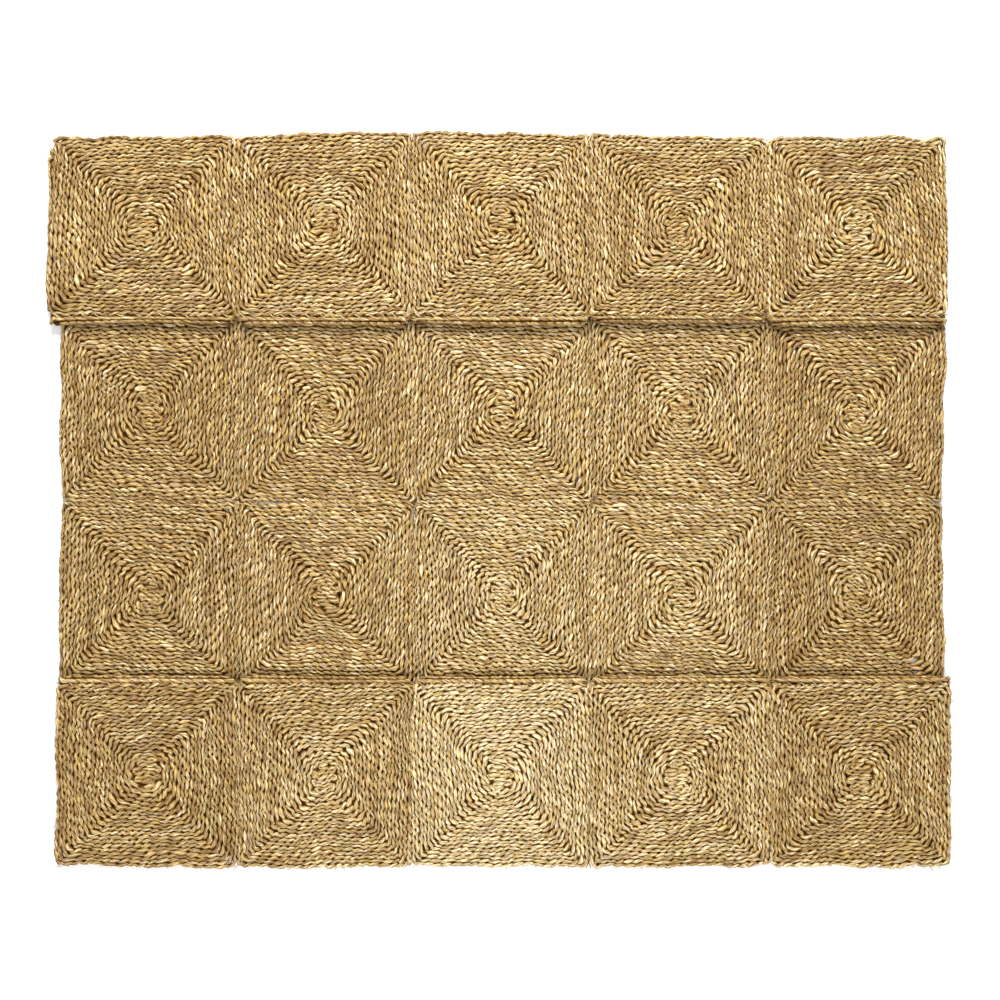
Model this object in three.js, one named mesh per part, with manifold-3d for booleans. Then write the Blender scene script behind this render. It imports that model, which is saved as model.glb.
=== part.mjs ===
// A natural seagrass rug of 40 square panels, 8 rows of 5, lying folded. Each panel is one twisted
// cord wound in a square coil, and the panels are sewn edge to edge. Both ends are folded in a Z,
// three layers deep, on either side of two single rows. Millimetres, +Z up, +Y to the head end.

import * as THREE from "three";
import { mergeVertices } from "three/addons/utils/BufferGeometryUtils.js";
import Module from "manifold-3d";

const wasm = await Module();
wasm.setup();

// Panel
const panelSide = 300; // nominal, the coil is wound to this size before it is sewn in
const panelThick = 7.0; // one cord, pressed a little by its neighbours
const cordPitch = 6.4; // from one turn of cord to the next
const ribDepth = 1.7; // how far the surface falls between two turns
const rimDepth = 3.4; // how far the outermost turn rounds off at the edge
const edgeBulge = 1.6; // how much fuller a panel is halfway along an edge than near its corners
const cornerRound = 13; // size of the rounding at a panel's corner
const edgeSteps = 3; // straight stretches in each curve of a panel's outline

// Sewing and stacking
const sewnGap = 0.3; // between two panels that are sewn together
const layerGap = 0.6; // between two layers that lie on each other
const layerStep = panelThick + layerGap;
const curlRadius = panelThick + layerGap / 2; // outside of a fold, over two layers
const innerSteps = 2; // straight stretches around the inside of a fold
const mergeWithin = 1e-3; // points closer than this are one point

// Levels at which the undersides of the three layers lie
const level = { bottom: 0, middle: layerStep, top: 2 * layerStep };

// Lines across the rug: x of its six column lines, y of the line at each, and how far the line
// is lifted there. The hand-wound panels make them uneven.
const lines = {
  headEdge: {
    x: [-748, -444, -148, 151, 448, 748],
    y: [610, 612, 619, 615, 609, 609],
    lift: [4, 1, 2, 0, 2, 3],
  },
  headSeam: {
    x: [-755, -444, -148, 151, 448, 753],
    y: [310, 310, 310, 310, 310, 310],
    lift: [0, 0, 0, 0, 0, 0],
  },
  headHidden: {
    x: [-745, -445, -147, 154, 456, 754],
    y: [306, 306, 306, 306, 306, 306],
    lift: [0, 0, 0, 0, 0, 0],
  },
  middleSeam: {
    x: [-744, -443, -146, 154, 457, 748],
    y: [-4, -5, -6, -5, -5, -4],
    lift: [0, 0, 0, 0, 0, 0],
  },
  footHidden: {
    x: [-748, -441, -145, 154, 458, 751],
    y: [-316, -316, -316, -316, -316, -316],
    lift: [0, 0, 0, 0, 0, 0],
  },
  footSeam: {
    x: [-747, -441, -149, 149, 453, 759],
    y: [-309, -309, -309, -309, -309, -309],
    lift: [0, 0, 0, 0, 0, 0],
  },
  footEdge: {
    x: [-747, -441, -149, 149, 453, 754],
    y: [-612, -619, -616, -617, -615, -616],
    lift: [2, 1, 0, 2, 0, 4],
  },
};

// Rows that lie flat: the line on their head side, the one on their foot side, and their level
const flatRows = [
  { name: "head_top", upper: "headEdge", lower: "headSeam", level: level.top, tone: 0xb49768 },
  { name: "field_head", upper: "headHidden", lower: "middleSeam", level: level.bottom, tone: 0xaf9265 },
  { name: "field_foot", upper: "middleSeam", lower: "footHidden", level: level.bottom, tone: 0xaf9265 },
  { name: "foot_top", upper: "footSeam", lower: "footEdge", level: level.top, tone: 0xb29669 },
];

// The two folded ends: which way out from the middle, where the inner fold lies, how far the
// outer fold and the seams lie out from it, and the sides of the hidden layers
const ends = [
  {
    name: "head",
    way: 1,
    foldY: 294.5,
    topSeam: 15.5,
    middleSeam: 285,
    outerFold: 298,
    fieldSeam: 11.5,
    columns: "headSeam",
    left: -761,
    right: 752,
  },
  {
    name: "foot",
    way: -1,
    foldY: 296,
    topSeam: 13,
    middleSeam: 283,
    outerFold: 299,
    fieldSeam: 20,
    columns: "footSeam",
    left: -746,
    right: 760,
  },
];
const hiddenTone = 0xa08256;

// Geometry to a closed solid, and back
function toSolid(geometry) {
  geometry.deleteAttribute("normal");
  geometry.deleteAttribute("uv");
  const merged = mergeVertices(geometry, mergeWithin);
  return new wasm.Manifold(
    new wasm.Mesh({
      numProp: 3,
      vertProperties: merged.attributes.position.array,
      triVerts: new Uint32Array(merged.index.array),
    }),
  );
}

function toGeometry(solid) {
  const mesh = solid.getMesh();
  const geometry = new THREE.BufferGeometry();
  geometry.setAttribute("position", new THREE.BufferAttribute(mesh.vertProperties, 3));
  geometry.setIndex(new THREE.BufferAttribute(mesh.triVerts, 1));
  return geometry;
}

// Moves every point of a geometry by a function
function movePoints(geometry, move) {
  const position = geometry.attributes.position;
  const point = new THREE.Vector3();
  for (let i = 0; i < position.count; i++) {
    move(point.fromBufferAttribute(position, i));
    position.setXYZ(i, point.x, point.y, point.z);
  }
  geometry.computeVertexNormals();
  return geometry;
}

// The square coil: a four-sided turned form whose rings are the turns of cord
function coil() {
  const half = panelSide / 2;
  const profile = [
    new THREE.Vector2(0, 0),
    new THREE.Vector2(half, 0),
    new THREE.Vector2(half, panelThick - rimDepth),
  ];
  for (let crest = half - cordPitch / 2; crest > cordPitch; crest -= cordPitch) {
    profile.push(new THREE.Vector2(crest, panelThick));
    profile.push(new THREE.Vector2(crest - cordPitch / 2, panelThick - ribDepth));
  }
  profile.push(new THREE.Vector2(0, panelThick));
  const turned = new THREE.LatheGeometry(profile, 4, Math.PI / 4);
  turned.rotateX(Math.PI / 2);
  turned.scale(Math.SQRT2, Math.SQRT2, 1);
  return turned;
}

// A panel's outline, a block with slightly full edges and rounded corners
function outlineBlock() {
  const half = panelSide / 2;
  const near = half - edgeBulge;
  const start = half - cornerRound;
  const shape = new THREE.Shape();
  shape.moveTo(-start, -near);
  for (let side = 0; side < 4; side++) {
    const turn = (x, y) => {
      const p = new THREE.Vector2(x, y).rotateAround(new THREE.Vector2(), (side * Math.PI) / 2);
      return [p.x, p.y];
    };
    shape.quadraticCurveTo(...turn(0, -half - edgeBulge), ...turn(start, -near));
    shape.quadraticCurveTo(...turn(near, -near), ...turn(near, -start));
  }
  const block = new THREE.ExtrudeGeometry(shape, {
    depth: 3 * panelThick,
    bevelEnabled: false,
    curveSegments: edgeSteps,
  });
  return block.translate(0, 0, -panelThick);
}

// A flat panel between two lines and two column lines
function flatPanel(row, column) {
  const upper = lines[row.upper];
  const lower = lines[row.lower];
  const between = (list, other, s, t) =>
    THREE.MathUtils.lerp(
      THREE.MathUtils.lerp(other[column], other[column + 1], s),
      THREE.MathUtils.lerp(list[column], list[column + 1], s),
      t,
    );
  const fit = (1 - sewnGap / panelSide) / panelSide;
  return movePoints(plainPanel.clone(), (p) => {
    const s = 0.5 + p.x * fit;
    const t = 0.5 + p.y * fit;
    p.set(
      between(upper.x, lower.x, s, t),
      between(upper.y, lower.y, s, t),
      p.z + row.level + between(upper.lift, lower.lift, s, t),
    );
  });
}

// Side view of a panel that starts on one level, curls over and runs back on the level below.
// u runs out from the inner fold. The cords show as ribs up to the end of the curl.
function foldedShape({ start, fold, end, upperLevel, toward, way, foldY }) {
  const shape = new THREE.Shape();
  const curlU = fold - toward * curlRadius;
  const curlZ = upperLevel - layerGap / 2;
  const flat = Math.abs(curlU - start);
  const place = (u, z) => [way * (foldY + u), z];
  const outside = (s, depth) => {
    const angle = Math.max(0, s - flat) / curlRadius;
    const reach = curlRadius - depth;
    return place(
      curlU - toward * Math.max(0, flat - s) + toward * reach * Math.sin(angle),
      curlZ + reach * Math.cos(angle),
    );
  };
  const length = flat + Math.PI * curlRadius;
  const ribs = Math.round(length / cordPitch);
  shape.moveTo(...outside(0, rimDepth));
  for (let i = 1; i <= 2 * ribs; i++) {
    shape.lineTo(...outside((i * length) / (2 * ribs), i % 2 ? 0 : ribDepth));
  }
  shape.lineTo(...place(curlU - toward * cordPitch, curlZ - curlRadius));
  shape.lineTo(...place(end, curlZ - curlRadius));
  shape.lineTo(...place(end, curlZ - layerGap / 2));
  for (let i = 0; i <= innerSteps; i++) {
    const angle = Math.PI * (1 - i / innerSteps);
    const u = curlU + (toward * layerGap * Math.sin(angle)) / 2;
    shape.lineTo(...place(u, curlZ + (layerGap * Math.cos(angle)) / 2));
  }
  shape.lineTo(...place(start, upperLevel));
  return shape;
}

// A folded panel: its side view drawn out from one column line to the next
function foldedPanel(end, column, fold) {
  const shape = foldedShape({ ...fold, way: end.way, foldY: end.foldY });
  const geometry = new THREE.ExtrudeGeometry(shape, { depth: 1, bevelEnabled: false });
  const x = [end.left, ...lines[end.columns].x.slice(1, -1), end.right];
  const width = x[column + 1] - x[column] - sewnGap;
  return movePoints(geometry, (p) => {
    p.set(x[column] + sewnGap / 2 + p.z * width, p.x, p.y);
  });
}

// Where the two hidden panels of an end start, curl over and stop
function hiddenFolds(end) {
  const inset = sewnGap / 2;
  return {
    middle: {
      start: end.topSeam - inset,
      fold: 0,
      end: end.middleSeam - inset,
      upperLevel: level.top,
      toward: -1,
    },
    bottom: {
      start: end.middleSeam + inset,
      fold: end.outerFold,
      end: end.fieldSeam + inset,
      upperLevel: level.middle,
      toward: 1,
    },
  };
}

function addPanel(group, name, geometry, tone) {
  const material = new THREE.MeshStandardMaterial({ color: tone, roughness: 0.85, metalness: 0 });
  const mesh = new THREE.Mesh(geometry, material);
  mesh.name = name;
  group.add(mesh);
}

const plainPanel = toGeometry(toSolid(coil()).intersect(toSolid(outlineBlock())));
const rug = new THREE.Group();
const columns = [0, 1, 2, 3, 4];

for (const row of flatRows) {
  for (const column of columns) {
    addPanel(rug, `panel_${row.name}_${column + 1}`, flatPanel(row, column), row.tone);
  }
}
for (const end of ends) {
  for (const [layer, fold] of Object.entries(hiddenFolds(end))) {
    for (const column of columns) {
      const name = `panel_${end.name}_${layer}_${column + 1}`;
      addPanel(rug, name, foldedPanel(end, column, fold), hiddenTone);
    }
  }
}

// The origin lies under the middle of the folded rug
const middle = new THREE.Box3().setFromObject(rug, true).getCenter(new THREE.Vector3());
rug.position.set(-middle.x, -middle.y, 0);

export default rug;
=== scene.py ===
"""A natural seagrass rug of coiled cord panels, sewn edge to edge and folded in a Z at both ends.

Each panel is one long two-ply cord. It starts as a few short rows at the middle and goes on as a
square coil, turn beside turn, to the panel's edge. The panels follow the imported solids.
"""

import math

import bmesh
import bpy
import numpy as np
from bpy.props import FloatProperty, FloatVectorProperty, IntProperty, PointerProperty
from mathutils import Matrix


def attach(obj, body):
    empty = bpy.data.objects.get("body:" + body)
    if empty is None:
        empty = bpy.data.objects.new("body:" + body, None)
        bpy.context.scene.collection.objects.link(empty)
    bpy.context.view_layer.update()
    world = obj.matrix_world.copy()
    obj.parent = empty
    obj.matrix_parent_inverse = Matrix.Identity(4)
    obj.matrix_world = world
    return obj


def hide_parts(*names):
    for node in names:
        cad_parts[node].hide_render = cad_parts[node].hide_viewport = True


bl_info = {
    "name": "Seagrass panel rug",
    "version": (1, 0, 0),
    "blender": (4, 5, 0),
    "location": "View3D > Sidebar > Rug",
    "description": "Winds, sews and lays out a folded seagrass rug around its packed solids",
    "category": "Add Mesh",
}

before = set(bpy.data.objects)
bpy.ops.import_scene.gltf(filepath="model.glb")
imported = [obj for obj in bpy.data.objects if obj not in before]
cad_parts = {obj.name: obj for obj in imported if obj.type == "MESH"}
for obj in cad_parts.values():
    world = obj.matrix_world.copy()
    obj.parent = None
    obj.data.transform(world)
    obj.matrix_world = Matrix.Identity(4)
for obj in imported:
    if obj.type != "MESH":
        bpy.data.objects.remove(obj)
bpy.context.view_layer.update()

# The rug's rows of panels: those that lie flat and show, and those that curl over at the folds
FLAT_ROWS = ("head_top", "field_head", "field_foot", "foot_top")
FOLDED_ROWS = ("head_middle", "head_bottom", "foot_middle", "foot_bottom")
ROWS = FLAT_ROWS + FOLDED_ROWS
COLUMNS = 5
COLUMN_NUMBERS = range(1, COLUMNS + 1)
# The way each row's cords are twisted before a coil is mirrored: +1 and -1 are mirror images
LAY = {
    "head_top": -1,
    "field_head": 1,
    "field_foot": 1,
    "foot_top": -1,
    "head_middle": 1,
    "head_bottom": -1,
    "foot_middle": 1,
    "foot_bottom": -1,
}

# Seeds of the random draws: the wandering that all the rug shares, the step from one row of
# panels to the next, and the first row's sewing and stray blades
DRIFT_SEED = 40
ROW_SEEDS = 100
SEWING_SEED = 500
STRAY_SEED = 700

# The coil is worked out on a square panel of this half side, then fitted to its place
HALF = 0.150
# No point of the rug lies lower than this
LOWEST = 0.0001

# Gentle shifts in the plane: how many waves, and their shortest and longest length
SWAY_WAVES = (9, 0.05, 0.19)
DRIFT_WAVES = (26, 0.028, 0.12)
RIPPLE_WAVES = (22, 0.012, 0.034)
# Makes up for the shorter waves, which are lower in step with their length
WAVE_GAIN = 1.6
# How a panel's own sway fades out towards its edges: the power of the place
SWAY_FADE = 4

# Corners of the cord's section, in degrees around it. The first lies underneath. The second and
# the last reach out low to the neighbouring turns.
AROUND = np.array((-90.0, -16.0, 30.0, 66.0, 114.0, 150.0, 196.0))
UNDER, INNER_LIP, OUTER_LIP = 0, 1, 6
# How deep each corner of the section counts as lying between two turns, from 0 to 1, which sets its
# painted shade
SUNK_SHADE = np.array((0.0, 1.0, 0.40, 0.0, 0.0, 0.40, 1.0))
# Where the cross sections of a ply lie along it: in the groove before it, then on its crest
PLY_PHASES = np.array((0.0, 0.34, 0.66))


def node_name(row, column):
    return f"panel_{row}_{column}"


def piece_name(row, column):
    return f"coil_{row}_{column}"


def node_points(node):
    """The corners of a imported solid, as an array of points."""
    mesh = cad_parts[node].data
    points = np.empty(len(mesh.vertices) * 3)
    mesh.vertices.foreach_get("co", points)
    return points.reshape(-1, 3)


panel_thick = float(np.ptp(node_points(node_name("field_head", 1))[:, 2]))
half_thick = panel_thick / 2


def length_property(name, description, default):
    return FloatProperty(name=name, description=description, default=default, unit="LENGTH")


def share_property(name, description, default, most):
    return FloatProperty(
        name=name, description=description, default=default, subtype="FACTOR", min=0.0, max=most
    )


def colour_property(name, description, default):
    return FloatVectorProperty(
        name=name, description=description, default=default, subtype="COLOR", size=3
    )


class RugSizes(bpy.types.PropertyGroup):
    cord_pitch: length_property("Cord pitch", "From one turn of cord to the next", 0.0064)
    ply_run: length_property("Ply run", "Length of cord over which one ply shows on top", 0.0150)
    ply_cross: share_property(
        "Ply crossing",
        "Share of a ply's run over which the groove beside it crosses the cord",
        0.64,
        1.0,
    )
    ply_groove: share_property(
        "Ply groove",
        "Share of the cord's radius that the groove between two plies takes",
        0.50,
        0.6,
    )
    core_rows: IntProperty(
        name="Core rows",
        description="Short rows that the coil starts with",
        default=8,
        min=3,
    )
    edge_corner: length_property(
        "Edge corner", "Radius of the outermost turn at a panel's corner", 0.0048
    )
    edge_bulge: length_property(
        "Edge bulge", "How much fuller a panel is halfway along an edge than at its corners", 0.0008
    )
    sway: length_property("Sway", "How far the turns inside a panel wander together", 0.0015)
    drift: length_property(
        "Drift", "How far all that lies on the rug wanders together, its seams too", 0.0019
    )
    ripple: length_property("Ripple", "How far it wanders together over short lengths", 0.0006)
    wobble: length_property("Wobble", "How far one turn wanders by itself", 0.00046)
    stitch: length_property("Stitch", "From one stitch of a seam to the next", 0.021)
    blade_width: length_property(
        "Blade width", "Width of the blade that the seams are sewn with", 0.0026
    )
    stray_blades: IntProperty(
        name="Stray blades",
        description="Loose blades that lie on each panel",
        default=48,
        min=0,
    )


class RugColours(bpy.types.PropertyGroup):
    straw: colour_property("Straw", "Most of the dried blades", (0.63, 0.44, 0.18))
    pale: colour_property("Pale", "The palest blades", (0.97, 0.79, 0.49))
    brown: colour_property("Brown", "Blades that dried brown", (0.34, 0.195, 0.075))
    green: colour_property("Green", "Blades that kept some green", (0.52, 0.43, 0.16))
    yellow: colour_property("Yellow", "Blades that dried to a warm yellow", (0.77, 0.54, 0.17))
    dull: colour_property("Dull", "Blades that dried to a dull pinkish brown", (0.47, 0.315, 0.185))
    # Painted shade: the dark colour put deep between two plies or turns, where shade falls
    gap: colour_property("Gap Shade", "Deep between two plies or turns", (0.10, 0.042, 0.004))
    floor: colour_property("Floor", "The plain pale floor", (0.93, 0.93, 0.93))


# Corner radius of each coil's inner turns: what is usual, and the coils that differ
USUAL_CORNER = (0.020, 0.030)
CORNER_RADIUS = {
    "head_top_1": 0.034,
    "head_top_2": 0.034,
    "foot_top_4": 0.040,
    "foot_top_3": 0.036,
}
# How the corners' radius goes over from that to the edge's, as a power of the turn's reach
CORNER_POWER = 1.5
# The first turns are nearly round: the share of their reach that their corners' radius takes,
# the reach up to which that holds, and over how much more it fades
MOST_ROUND = 0.98
ROUND_REACH = 0.025
ROUND_FADE = 0.050

# How pale each panel is beside the others, by column: partly the panels' own tone, partly painted
# shade, with the end columns darker where the light falls off to the sides and the rows that curl
# over at the folds darker
PALENESS_AND_SHADE = {
    "head_top": (-0.17, -0.13, -0.06, -0.09, -0.10),
    "field_head": (-0.22, -0.13, 0.00, -0.01, -0.20),
    "field_foot": (-0.11, -0.08, 0.17, 0.02, -0.13),
    "foot_top": (-0.19, 0.06, 0.47, 0.16, -0.09),
    "head_middle": (-0.13,) * COLUMNS,
    "foot_middle": (-0.15,) * COLUMNS,
}
# How paleness changes along a cord: over what length, and how much
PALENESS_CHANGES = ((0.9, 0.10), (0.11, 0.09))
# How much painted shade darkens a row along the fold at the foot, where the fold shades it, and how
# far from it
CREASE_SHADE = {"field_foot": 0.45}
CREASE_REACH = 0.006

# Places where a panel's edge is pulled in, or out if the depth is negative: the edge's direction,
# the middle and the reach of the pull along it in shares of the half side, and its depth
EDGE_PULLS = {
    "field_head_2": ((0, -1), -0.68, 0.34, 0.0044),
    "head_top_1": ((-1, 0), -0.35, 1.2, -0.0095),
}
# The share of the half side from which the turns follow such an edge
PULL_FROM = 0.6
# Places where two turns are parted: the place across in shares of the half side, the number of
# the turn above it from the core, and how far apart
PARTED_TURNS = {"field_foot_5": ((0.68, 13, 0.0088), (0.68, 15, 0.0056))}
# How far that is felt along the turns, and across them
PARTED_ALONG = 0.0048
PARTED_ACROSS = 0.010

# How far the left side of a hidden panel is tucked in at the inner fold and at the outer one, and
# the reach of that
SIDE_TUCK = {"panel_head_middle_1": (0.0020, -0.0030), "panel_head_bottom_1": (0.0065, 0.0)}
TUCK_REACH = 0.16
# How far past its solid's end the first turn of a middle panel lies, beside the top panel's last
SEAM_LATE = 0.0022
# A flat solid's corners are rounded: the points this near to the furthest one make a corner, and
# the square panel's corner lies further out by this factor
CORNER_NEAR = 0.0015
CORNER_STRETCH = 1.034

# Sides of the coil are counted from its first whole turn on. It starts here, from the core, and
# its centre line has this many points a side.
FIRST_SIDE = -3.5
SIDE_SAMPLES = 150
# Points of the cord's bend between two rows of the core, how much of the core's height the first
# turn takes to narrow it, and how much wider than on the straight the core's rows lie
BEND_POINTS = 5
NARROW_HEIGHT = 1.5
CORE_SPREAD = 1.04
# The end of the cord: how much it thins over the last side, and how far, from what share of the
# side on and over what share of it, it is tucked in under the last turn
TAIL_THIN = 0.88
TAIL_TUCK = 0.0030
TAIL_FROM = 0.84
TAIL_OVER = 0.14

# Cross sections where no detail shows: how near to a corner in shares of a side, how far apart in
# the core, and the least distance between any two
NEAR_CORNER = 0.05
CORE_STEP = 0.006
LEAST_STEP = 0.0006

# How uneven the plies' lengths are, slowly and from ply to ply, over what length the slow change
# goes, and its limits
PACE = (0.20, 0.18)
PACE_STEP = 0.05
PACE_LIMITS = (0.6, 1.6)
# How deep the section is in the groove between two plies, on a ply's crest and where no detail
# shows, as shares of the groove, and how uneven the crests are
GROOVE, CREST, PLAIN = 1.0, -0.06, 0.30
CREST_UNEVEN = (-0.18, 0.20)
# How the cord swells along its length: over what length, and how much
SWELLS = ((0.040, 0.045), (0.3, 0.03))
# Share of a ply's groove that shows in the cord's height, and how uneven the blades make the cord
GROOVE_ON_TOP = 0.9
UNEVEN = 0.0002
# The most that one turn wanders by itself, so that it stays beside its neighbours, over what
# length it does, and how the cord's top rises and falls: over what length, and how much
MOST_WOBBLE = 0.00044
WOBBLE_STEP = 0.020
TOP_RISE = (0.026, 0.00034)

# How wide and how round the section is, the tallest that a ply gets, and the height of the thin
# end with what its thickness adds
FULLNESS = 1.04
ROUND_TOP = 1.09
TALLEST = 1.02
TAIL_HEIGHT = (0.55, 0.45)
# How much the section spreads with the turns at a corner
CORNER_SPREAD = 0.35
# How much of the cord's lower half an inner turn keeps, pressed flat by its neighbours
PRESSED = 0.64
# How far the lips of the section reach in shares of the cord's half width: beside another turn,
# and how much further at a seam and at its corners, then in the core, to the core from the ring
# of so many sides around it, and at the rug's own edge. The lips take the darkest painted shade,
# so where they reach further they fill holes between turns with painted shade.
LIP_REACH = 1.10
SEAM_LIP = 1.15
SEAM_CORNER_LIP = 1.2
CORE_LIP = 1.5
RING_LIP = 2.2
RING_SIDES = 5
EDGE_LIP = 0.55
# How much of its reach the cord's side has at a seam, in the groove between two plies and on them
SEAM_BULGE = (0.82, 1.14)
# How deep the cord's side counts as lying at a seam, which is sewn tight, and at the rug's own
# edge, for its painted shade
SEAM_SUNK = 0.42
EDGE_SUNK = 0.30
# It gets less painted shade at a corner: from what spread of the turns on, over how much more, how
# much
CORNER_FROM = 1.05
CORNER_OVER = 0.2
CORNER_RAISED = 0.6
# The share of the half side beyond which the cord lies at the rug's own edge
AT_EDGE = 0.95

# How many turns of a folded panel show: at its curl, further in and across at the curl's ends,
# and at the rug's own edge
CURL_TURNS = 3.1
CURL_END_TURNS = (5.6, 4.1)
EDGE_TURNS = 2.1


def smooth(x):
    x = np.clip(x, 0.0, 1.0)
    return x * x * (3 - 2 * x)


def wander(random, along, step, amount):
    """A smooth random line: one value for each place along, that changes over about a step."""
    at = np.asarray(along) / step
    low = math.floor(float(at.min()))
    knots = random.normal(0.0, amount, math.ceil(float(at.max())) - low + 2)
    index = np.floor(at).astype(int) - low
    share = smooth(at - np.floor(at))
    return knots[index] * (1 - share) + knots[index + 1] * share


def waves(random, count, short, long, amount, x, y):
    """Gentle shifts in the plane at x and y, made of waves of many lengths and headings."""
    turns = random.uniform(0, 2 * math.pi, (count, 2))
    lengths = random.uniform(short, long, (count, 1))
    heading = random.uniform(0, 2 * math.pi, count)
    paces = 2 * math.pi / lengths * np.stack([np.cos(heading), np.sin(heading)], 1)
    amounts = random.normal(0, amount / math.sqrt(count), (count, 2)) * lengths / long * WAVE_GAIN
    shift = np.zeros((2, len(x)))
    for turn, pace, most in zip(turns, paces, amounts):
        wave = pace[0] * x + pace[1] * y
        shift[0] += most[0] * np.sin(wave + turn[0])
        shift[1] += most[1] * np.sin(wave + turn[1])
    return shift


def settle(points, sizes):
    """Lets placed points wander with all that lies beside them."""
    random = np.random.default_rng(DRIFT_SEED)
    shift = waves(random, *DRIFT_WAVES, sizes.drift, *points.T[:2])
    shift += waves(random, *RIPPLE_WAVES, sizes.ripple, *points.T[:2])
    points[:, :2] += shift.T
    points[:, 2] = np.maximum(points[:, 2], LOWEST)
    return points


def corner_radius(reach, inner, outer):
    """The radius of a turn's corners: round at the core, squarer towards the panel's edge."""
    usual = inner + (outer - inner) * (np.maximum(reach, 0) / HALF) ** CORNER_POWER
    round_turn = MOST_ROUND * reach * (1 - smooth((reach - ROUND_REACH) / ROUND_FADE))
    return np.minimum(np.maximum(usual, round_turn), MOST_ROUND * reach)


def coil_side(share, reach, corner, slope):
    """A point on the lower side of a rounded square, from one diagonal to the next, and how much
    wider than on the straight the turns lie there. slope says how the corners' radius grows."""
    arc = corner * math.pi / 4
    straight = 2 * (reach - corner)
    length = share * (2 * arc + straight)
    first = length < arc
    last = length > arc + straight
    angle = np.where(first, (arc - length) / corner, (length - arc - straight) / corner)
    bend = first | last
    swing = reach - corner + corner * np.sin(angle)
    x = np.where(first, -swing, np.where(last, swing, length - arc - straight / 2))
    y = np.where(bend, -reach + corner * (1 - np.cos(angle)), -reach)
    spread = np.where(bend, (1 - slope) * (np.cos(angle) + np.sin(angle)) + slope, 1.0)
    return x, y, spread


def core_size(sizes):
    """How far the core reaches, how many turns go round it, and their step."""
    core = (sizes.core_rows + 1) * sizes.cord_pitch / 2
    turns = round((HALF - core) / sizes.cord_pitch)
    return core, turns, (HALF - core) / turns


def core_line(sizes):
    """The short rows that fill the core, from the top one to the last, which meets the coil."""
    pitch = sizes.cord_pitch
    core = core_size(sizes)[0]
    bend = np.linspace(-math.pi / 2, math.pi / 2, BEND_POINTS + 2)[1:-1]

    def side(up, way):
        """How far the core reaches at a height. The first turn narrows it but for its left."""
        radius = core - pitch
        if way < 0:
            radius = core - pitch * min(1.0, max(0.0, 0.5 + up / (NARROW_HEIGHT * core)))
        return way * math.sqrt(max(0.0, radius**2 - up**2))

    x, y = [], []
    for row in range(sizes.core_rows):
        up = core - pitch * (row + 1.5)
        way = 1 if (sizes.core_rows - row) % 2 else -1
        start = x[-1] if x else side(up + pitch / 4, -way) + way * pitch / 2
        end = side(up - pitch / 2, way) - way * pitch
        if row == sizes.core_rows - 1:
            end = -pitch
        straight = np.linspace(start, end, 2 + int(abs(end - start) / (pitch / 4)))
        x += list(straight)
        y += [up] * len(straight)
        if row < sizes.core_rows - 1:
            x += list(end + way * pitch / 2 * np.cos(bend))
            y += list(up - pitch / 2 - pitch / 2 * np.sin(bend))
            x.append(end)
            y.append(up - pitch)
    return x, y


def coil_line(sizes, inner_corner):
    """The cord's centre line on a square panel, with its thickness, spread and side number.

    The core's last row runs on to the right and up, as the first side of the coil, which then
    goes round anticlockwise and grows by one cord a turn."""
    core_x, core_y = core_line(sizes)
    core, turns, step = core_size(sizes)
    place = np.arange(FIRST_SIDE, 4 * turns, 1 / SIDE_SAMPLES)
    turn = np.floor(place / 4).astype(int)
    side = np.floor(place).astype(int) % 4
    share = place - np.floor(place)
    reach = core + step * (turn + 0.5) + np.where(side == 3, step * share, 0)
    tail = (turn == turns - 1) & (side == 3)
    thick = np.where(tail, 1 - TAIL_THIN * share, 1.0)
    tucked = TAIL_TUCK * smooth((share - TAIL_FROM) / TAIL_OVER)
    reach = np.where(tail, HALF - step / 2 * thick - tucked, reach)
    corner = corner_radius(reach, inner_corner, sizes.edge_corner)
    beside = corner_radius(reach + step, inner_corner, sizes.edge_corner)
    x, y, spread = coil_side(share, reach, corner, (beside - corner) / step)
    for quarter in range(1, 4):
        turned = side == quarter
        angle = quarter * math.pi / 2
        cosine, sine = round(math.cos(angle)), round(math.sin(angle))
        x[turned], y[turned] = (
            x[turned] * cosine - y[turned] * sine,
            x[turned] * sine + y[turned] * cosine,
        )

    start = len(core_x)
    x = np.concatenate([core_x, x])
    y = np.concatenate([core_y, y])
    thick = np.concatenate([np.ones(start), thick])
    spread = np.concatenate([np.full(start, CORE_SPREAD), spread])
    number = np.concatenate([np.full(start, FIRST_SIDE - 1), place])
    return x, y, thick, spread, number


def section_tube(count, around):
    """A closed tube of cross sections, bent from a grid, its corners at their whole numbers."""
    bm = bmesh.new()
    bmesh.ops.create_grid(bm, x_segments=count - 1, y_segments=around - 1, size=0.5)
    for vertex in bm.verts:
        vertex.co.x = round((vertex.co.x + 0.5) * (count - 1))
        vertex.co.y = round((vertex.co.y + 0.5) * (around - 1))
    rims = [
        edge
        for edge in bm.edges
        if edge.is_boundary and edge.verts[0].co.y == edge.verts[1].co.y
    ]
    bmesh.ops.bridge_loops(bm, edges=rims)
    ends = [edge for edge in bm.edges if edge.is_boundary]
    bmesh.ops.holes_fill(bm, edges=ends, sides=0)
    bmesh.ops.recalc_face_normals(bm, faces=bm.faces)
    return bm


# The tubes made so far, by their number of sections and of sides
TUBES = {}


def tube_mesh(name, count, around):
    """A new mesh with the corners of a tube, and their section and side numbers."""
    if (count, around) not in TUBES:
        bm = section_tube(count, around)
        mesh = bpy.data.meshes.new("tube")
        bm.to_mesh(mesh)
        bm.free()
        points = np.empty(len(mesh.vertices) * 3)
        mesh.vertices.foreach_get("co", points)
        points = points.reshape(-1, 3)
        TUBES[count, around] = mesh, points[:, 0].astype(int), points[:, 1].astype(int)
    mesh, section, side = TUBES[count, around]
    copy = mesh.copy()
    copy.name = name
    return copy, section, side


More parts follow.
